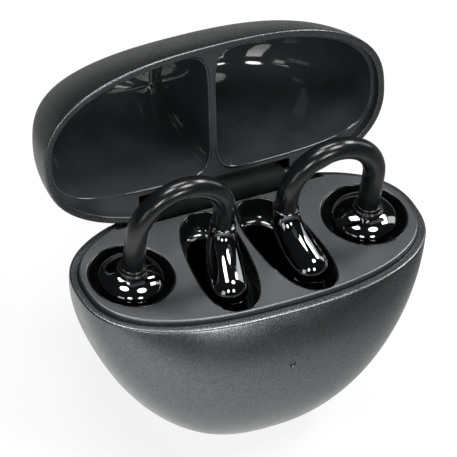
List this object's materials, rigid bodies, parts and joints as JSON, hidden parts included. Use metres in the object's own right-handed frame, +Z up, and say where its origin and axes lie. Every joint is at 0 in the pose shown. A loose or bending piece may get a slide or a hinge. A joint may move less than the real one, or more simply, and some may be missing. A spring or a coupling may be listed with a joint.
{
  "type": "ear-clip headphones with charging case",
  "caption": "Pebble-shaped charging case with a hinged lid, standing open, and ear-clip buds docked in its cradle; each bud is a ball and a bean on a sprung C bridge.",
  "frame": {"origin": "centre of the case's flat foot", "axes": "+Z up through the case, X along the hinge and the case's width, -Y towards the front"},
  "size_m": [0.07, 0.0661, 0.0685],
  "materials": {
    "case_paint": "satin graphite paint with a fine sparkle, on moulded polycarbonate",
    "matte_grey": "matte moulded ABS, dark grey",
    "gloss_black": "mirror-polished black ABS",
    "chrome_black": "polished black chrome plating, vacuum coated over ABS",
    "silicone": "soft-touch silicone, semi-gloss",
    "black_plastic": "moulded nylon",
    "steel": "stamped stainless steel",
    "spring_steel": "drawn spring wire",
    "magnet": "nickel plated",
    "gold": "gold plated contact",
    "mesh": "woven acoustic mesh, black",
    "board": "solder-masked fibreglass board",
    "cell_wrap": "laminated aluminium pouch foil",
    "lens": "smoked clear light pipe"
  },
  "bodies": {
    "case": {"case_shell": "case_paint", "cradle_deck": "matte_grey", "cradle_tray": "gloss_black", "hinge_bracket": "steel", "hinge_pin": "steel", "hinge_spring": "spring_steel", "bracket_screws": "steel", "latch_magnet": "magnet", "dock_magnets": "magnet", "usb_socket": "steel", "usb_tongue": "black_plastic", "main_board": "board", "case_battery": "cell_wrap", "indicator_lens": "lens", "left_pin_block": "black_plastic", "left_front_pin_spring": "spring_steel", "left_rear_pin_spring": "spring_steel", "right_pin_block": "black_plastic", "right_front_pin_spring": "spring_steel", "right_rear_pin_spring": "spring_steel"},
    "lid": {"lid_shell": "case_paint", "lid_liner": "matte_grey", "lid_hinge_block": "black_plastic", "left_lid_recess": "gloss_black", "right_lid_recess": "gloss_black", "lid_magnet": "magnet"},
    "left_ball": {"left_ball_upper_shell": "chrome_black", "left_ball_lower_shell": "chrome_black", "left_speaker_grille": "mesh", "left_speaker_driver": "steel", "left_ball_mic_mesh": "mesh", "left_ball_collar": "black_plastic", "left_bridge_sleeve": "silicone", "left_bridge_wire": "spring_steel"},
    "left_bean": {"left_bean_upper_shell": "chrome_black", "left_bean_lower_shell": "chrome_black", "left_bean_mic_mesh": "mesh", "left_bean_battery": "cell_wrap", "left_bean_board": "board", "left_charge_pads": "gold"},
    "left_front_contact": {"left_front_pin": "gold"},
    "left_rear_contact": {"left_rear_pin": "gold"},
    "right_ball": {"right_ball_upper_shell": "chrome_black", "right_ball_lower_shell": "chrome_black", "right_speaker_grille": "mesh", "right_speaker_driver": "steel", "right_ball_mic_mesh": "mesh", "right_ball_collar": "black_plastic", "right_bridge_sleeve": "silicone", "right_bridge_wire": "spring_steel"},
    "right_bean": {"right_bean_upper_shell": "chrome_black", "right_bean_lower_shell": "chrome_black", "right_bean_mic_mesh": "mesh", "right_bean_battery": "cell_wrap", "right_bean_board": "board", "right_charge_pads": "gold"},
    "right_front_contact": {"right_front_pin": "gold"},
    "right_rear_contact": {"right_rear_pin": "gold"}
  },
  "joints": [
    {"name": "lid_hinge", "type": "hinge", "parent": "case", "child": "lid", "pos_m": [0, 0.0145, 0.038], "axis": [-1, 0, 0], "range_deg": [-106.8, 0], "deforming": ["hinge_spring"]},
    {"name": "left_bud_lift", "type": "slide", "parent": "case", "child": "left_ball", "axis": [0, 0, 1], "range_m": [0, 0.06]},
    {"name": "left_clip_flex", "type": "hinge", "parent": "left_ball", "child": "left_bean", "pos_m": [-0.0154, 0, 0.055], "axis": [0, -1, 0], "range_deg": [0, 7], "stiffness_Nm_per_rad": 0.12, "deforming": ["left_bridge_sleeve", "left_bridge_wire"]},
    {"name": "left_front_pin_press", "type": "slide", "parent": "case", "child": "left_front_contact", "axis": [0, 0, 1], "range_m": [-0.0006, 0], "stiffness_N_per_m": 400, "springref_m": 0.0002, "deforming": ["left_front_pin_spring"]},
    {"name": "left_rear_pin_press", "type": "slide", "parent": "case", "child": "left_rear_contact", "axis": [0, 0, 1], "range_m": [-0.0006, 0], "stiffness_N_per_m": 400, "springref_m": 0.0002, "deforming": ["left_rear_pin_spring"]},
    {"name": "right_bud_lift", "type": "slide", "parent": "case", "child": "right_ball", "axis": [0, 0, 1], "range_m": [0, 0.06]},
    {"name": "right_clip_flex", "type": "hinge", "parent": "right_ball", "child": "right_bean", "pos_m": [0.0154, 0, 0.055], "axis": [0, 1, 0], "range_deg": [0, 7], "stiffness_Nm_per_rad": 0.12, "deforming": ["right_bridge_sleeve", "right_bridge_wire"]},
    {"name": "right_front_pin_press", "type": "slide", "parent": "case", "child": "right_front_contact", "axis": [0, 0, 1], "range_m": [-0.0006, 0], "stiffness_N_per_m": 400, "springref_m": 0.0002, "deforming": ["right_front_pin_spring"]},
    {"name": "right_rear_pin_press", "type": "slide", "parent": "case", "child": "right_rear_contact", "axis": [0, 0, 1], "range_m": [-0.0006, 0], "stiffness_N_per_m": 400, "springref_m": 0.0002, "deforming": ["right_rear_pin_spring"]}
  ]
}
